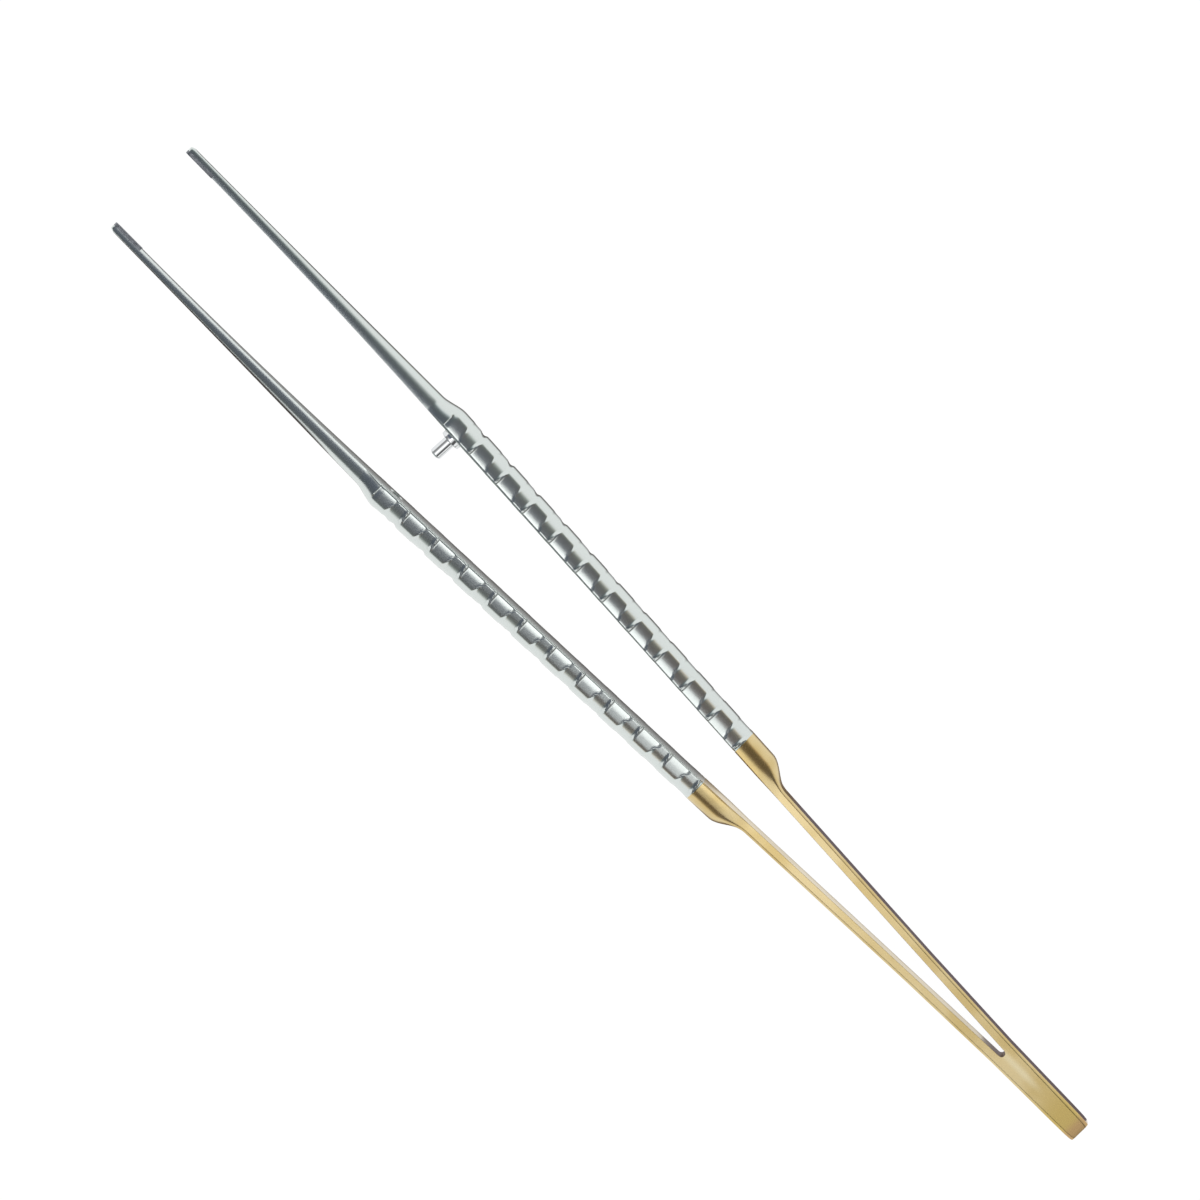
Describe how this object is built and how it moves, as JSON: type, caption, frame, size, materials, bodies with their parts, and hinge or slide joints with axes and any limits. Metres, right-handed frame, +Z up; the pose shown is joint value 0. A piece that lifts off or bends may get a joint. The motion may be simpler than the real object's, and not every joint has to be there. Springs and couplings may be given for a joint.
{
  "type": "micro tissue forceps",
  "caption": "Long spring forceps with round fluted handles, gold-plated spring leaves, a guide pin and slim carbide-lined tips.",
  "frame": {"origin": "centre of the bounding box at table height, with the forceps lying on its side and its arms open", "axes": "+X from the joined end to the tips, +Y towards the arm with the hole, +Z up from the table, square to the way the arms move"},
  "size_m": [0.21, 0.0212, 0.008],
  "materials": {
    "satin_steel": "satin stainless steel",
    "gold_plating": "satin gold plating on steel",
    "polished_steel": "polished stainless steel",
    "carbide": "rough dark tungsten carbide"
  },
  "bodies": {
    "joined_end": {"joined_end": "gold_plating"},
    "pin_arm": {"pin_arm": "satin_steel", "guide_pin": "polished_steel", "pin_arm_insert": "carbide"},
    "hole_arm": {"hole_arm": "satin_steel", "hole_arm_insert": "carbide"}
  },
  "joints": [
    {"name": "squeeze", "type": "hinge", "parent": "joined_end", "child": "pin_arm", "pos_m": [-0.08718, -0.00137, 0.004], "axis": [0, 0, 1], "range_deg": [0, 2.32], "stiffness_Nm_per_rad": 2},
    {"name": "squeeze_other_arm", "type": "hinge", "parent": "joined_end", "child": "hole_arm", "pos_m": [-0.08718, 0.00137, 0.004], "axis": [0, 0, -1], "range_deg": [0, 2.32], "stiffness_Nm_per_rad": 2}
  ],
  "couplings": [
    {"joint": "squeeze_other_arm", "follows": "squeeze", "ratio": 1}
  ]
}
